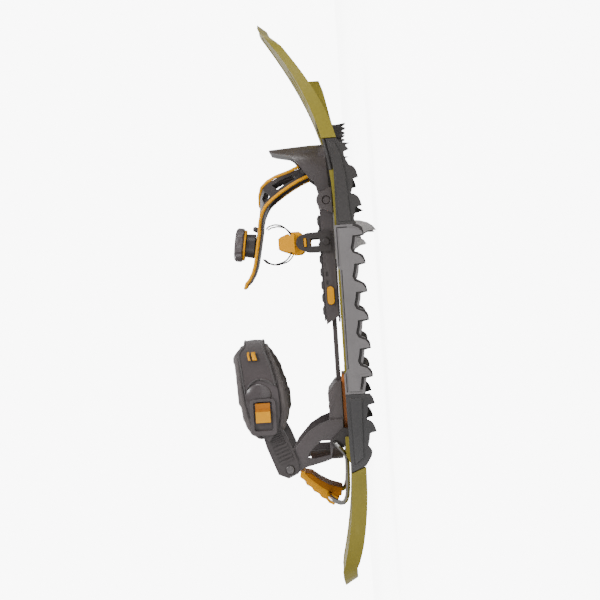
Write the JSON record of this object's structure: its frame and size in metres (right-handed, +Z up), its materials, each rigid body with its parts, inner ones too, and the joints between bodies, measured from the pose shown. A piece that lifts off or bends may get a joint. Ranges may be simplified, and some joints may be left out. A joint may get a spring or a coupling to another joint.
{
  "type": "snowshoe",
  "caption": "Snowshoe with an upturned slotted deck, toothed traction rails, a pivoting boot binding with steel claws, a lace-dial tongue, an ankle strap and a wire heel lift.",
  "frame": {"origin": "on the ground under the middle of the length, at the tips of the steel claws", "axes": "+X towards the upturned tip, +Y to the wearer's left, +Z up"},
  "size_m": [0.6, 0.2148, 0.1607],
  "materials": {
    "deck_olive": "satin moulded",
    "rail_charcoal": "satin moulded",
    "rail_grey": "satin moulded",
    "binding_plastic": "satin moulded",
    "black_plastic": "satin moulded",
    "tread_rubber": "matt",
    "yellow_plastic": "semi-gloss",
    "orange_plastic": "semi-gloss",
    "claw_steel": "blasted",
    "bright_steel": "bright",
    "polished_steel": "polished",
    "pad_fabric": "woven mesh"
  },
  "bodies": {
    "deck": {"deck_frame": "deck_olive", "tip_keel": "deck_olive", "front_rail_left": "rail_charcoal", "front_rail_right": "rail_charcoal", "mid_rail_left": "rail_grey", "mid_rail_right": "rail_grey", "rear_rail_left": "rail_charcoal", "rear_rail_right": "rail_charcoal", "toe_claw_left": "black_plastic", "toe_claw_right": "black_plastic", "pivot_block_left": "binding_plastic", "pivot_block_right": "binding_plastic", "pivot_axle": "bright_steel", "heel_pad": "orange_plastic", "lift_bracket_left": "black_plastic", "lift_bracket_right": "black_plastic"},
    "binding": {"binding_plate": "binding_plastic", "axle_bush_left": "black_plastic", "axle_bush_right": "black_plastic", "tread_pad": "tread_rubber", "toe_stop": "binding_plastic", "crampon": "claw_steel", "crampon_rivet_left": "bright_steel", "crampon_rivet_right": "bright_steel", "side_lug_left": "black_plastic", "side_lug_right": "black_plastic", "lug_rivet_left": "bright_steel", "lug_rivet_right": "bright_steel", "lace_hook_left": "yellow_plastic", "lace_hook_right": "yellow_plastic"},
    "size_button": {"size_lock_button": "yellow_plastic"},
    "heel_unit": {"size_bar": "binding_plastic", "heel_plate": "binding_plastic", "heel_cup": "binding_plastic", "ankle_rivet_left": "bright_steel", "ankle_rivet_right": "bright_steel"},
    "ankle_strap": {"ankle_pad": "pad_fabric", "pad_shell": "binding_plastic", "ladder_strap": "black_plastic", "strap_left": "black_plastic", "ratchet_frame": "binding_plastic", "lever_pin": "bright_steel"},
    "ratchet_lever": {"ratchet_lever": "yellow_plastic"},
    "tongue": {"tongue_strap": "black_plastic", "tongue_trim_front": "yellow_plastic", "tongue_trim_rear": "yellow_plastic", "tongue_rivet_left": "bright_steel", "tongue_rivet_right": "bright_steel", "lace_guide_left": "black_plastic", "lace_guide_right": "black_plastic", "lace_left": "bright_steel", "lace_right": "bright_steel", "dial_base": "black_plastic"},
    "lace_reel": {"lace_spool": "black_plastic"},
    "dial": {"dial_ring": "yellow_plastic", "dial_knob": "black_plastic"},
    "heel_lift": {"lift_bail": "polished_steel", "lift_grip": "yellow_plastic"}
  },
  "joints": [
    {"name": "binding_pivot", "type": "hinge", "parent": "deck", "child": "binding", "pos_m": [0.107, 0, 0.05], "axis": [0, 1, 0], "range_deg": [0, 60]},
    {"name": "size_lock", "type": "slide", "parent": "binding", "child": "size_button", "axis": [0, 1, 0], "range_m": [0, 0.0025], "stiffness_N_per_m": 400},
    {"name": "size_slide", "type": "slide", "parent": "binding", "child": "heel_unit", "axis": [1, 0, 0], "range_m": [-0.008, 0.03]},
    {"name": "ankle_strap_pivot", "type": "hinge", "parent": "heel_unit", "child": "ankle_strap", "pos_m": [-0.17, 0, 0.106], "axis": [0, 1, 0], "range_deg": [-60, 15]},
    {"name": "ratchet_lever", "type": "hinge", "parent": "ankle_strap", "child": "ratchet_lever", "pos_m": [-0.1005, -0.0605, 0.13], "axis": [0, 0, 1], "range_deg": [0, 60], "stiffness_Nm_per_rad": 0.02},
    {"name": "tongue_hinge", "type": "hinge", "parent": "binding", "child": "tongue", "pos_m": [0.1395, 0, 0.0725], "axis": [0, 1, 0], "range_deg": [0, 25], "deforming": ["lace_left", "lace_right"]},
    {"name": "reel_spin", "type": "hinge", "parent": "tongue", "child": "lace_reel", "pos_m": [0.06525, 0, 0.12945], "axis": [0.1564, 0, 0.9877], "continuous": true},
    {"name": "dial_pull", "type": "slide", "parent": "lace_reel", "child": "dial", "axis": [0.1564, 0, 0.9877], "range_m": [0, 0.003]},
    {"name": "heel_lift", "type": "hinge", "parent": "deck", "child": "heel_lift", "pos_m": [-0.145, 0, 0.057], "axis": [0, 1, 0], "range_deg": [0, 40]}
  ]
}
